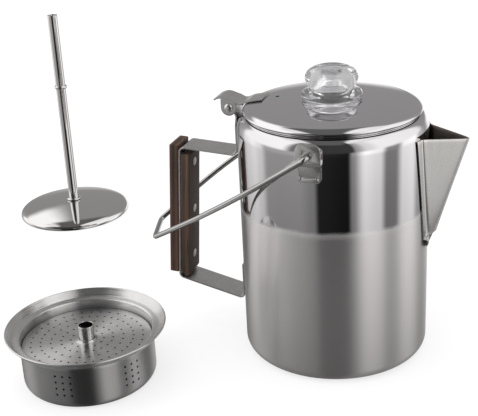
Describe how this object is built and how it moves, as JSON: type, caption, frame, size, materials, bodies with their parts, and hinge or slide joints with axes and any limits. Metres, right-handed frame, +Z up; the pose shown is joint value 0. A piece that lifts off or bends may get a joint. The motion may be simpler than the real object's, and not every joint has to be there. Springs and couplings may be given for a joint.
{
  "type": "coffee percolator",
  "caption": "Stovetop camping coffee percolator: spouted steel pot, wood-grip strap handle, swinging bail, hinged lid with clear knob, pump stem and perforated coffee basket.",
  "frame": {"origin": "centre of the pot's flat base, on the floor", "axes": "+Z up along the pot's axis, +X towards the spout, -X towards the handle, the bail's pivots on +Y and -Y"},
  "size_m": [0.4848, 0.411, 0.22],
  "materials": {
    "pot_steel": "mirror polished above, satin below",
    "spout_steel": "satin",
    "strap_steel": "satin",
    "lug_steel": "satin",
    "lid_steel": "mirror polished steel",
    "tab_steel": "satin",
    "polished_steel": "mirror polished steel",
    "basket_steel": "spun satin",
    "wire_steel": "bright drawn wire",
    "rivet_metal": "plain",
    "walnut": "oiled dark walnut",
    "knob_glass": "clear"
  },
  "bodies": {
    "pot": {"pot_body": "pot_steel", "spout": "spout_steel", "handle_strap": "strap_steel", "grip_outer": "walnut", "grip_inner": "walnut", "grip_rivet_top": "rivet_metal", "grip_rivet_middle": "rivet_metal", "grip_rivet_bottom": "rivet_metal", "bail_lug_front": "lug_steel", "bail_lug_rear": "lug_steel", "hinge_pin": "tab_steel"},
    "lid": {"lid_shell": "lid_steel", "lid_centring_ring": "basket_steel", "hinge_tab": "tab_steel"},
    "knob": {"glass_knob": "knob_glass"},
    "bail": {"bail_wire": "wire_steel"},
    "pump": {"pump_tube": "polished_steel", "pump_bell": "polished_steel", "basket_stop_ring": "polished_steel", "bell_collar": "polished_steel"},
    "basket": {"basket_shell": "basket_steel", "basket_centre_tube": "polished_steel"},
    "cover": {"basket_cover": "basket_steel"}
  },
  "joints": [
    {"name": "lid_hinge", "type": "hinge", "parent": "pot", "child": "lid", "pos_m": [-0.076, 0, 0.1882], "axis": [0, -1, 0], "range_deg": [0, 105]},
    {"name": "knob_turn", "type": "hinge", "parent": "lid", "child": "knob", "pos_m": [0, 0, 0.197], "axis": [0, 0, 1], "range_deg": [0, 90]},
    {"name": "bail_swing", "type": "hinge", "parent": "pot", "child": "bail", "pos_m": [0.0012, 0, 0.1777], "axis": [0, 1, 0], "range_deg": [0, 246]},
    {"name": "pump_lift", "type": "slide", "parent": "pot", "child": "pump", "axis": [0, 0, 1], "range_m": [0, 0.12]},
    {"name": "basket_lift", "type": "slide", "parent": "pot", "child": "basket", "axis": [0, 0, 1], "range_m": [0, 0.12]},
    {"name": "cover_lift", "type": "slide", "parent": "basket", "child": "cover", "axis": [0, 0, 1], "range_m": [0, 0.05]}
  ]
}
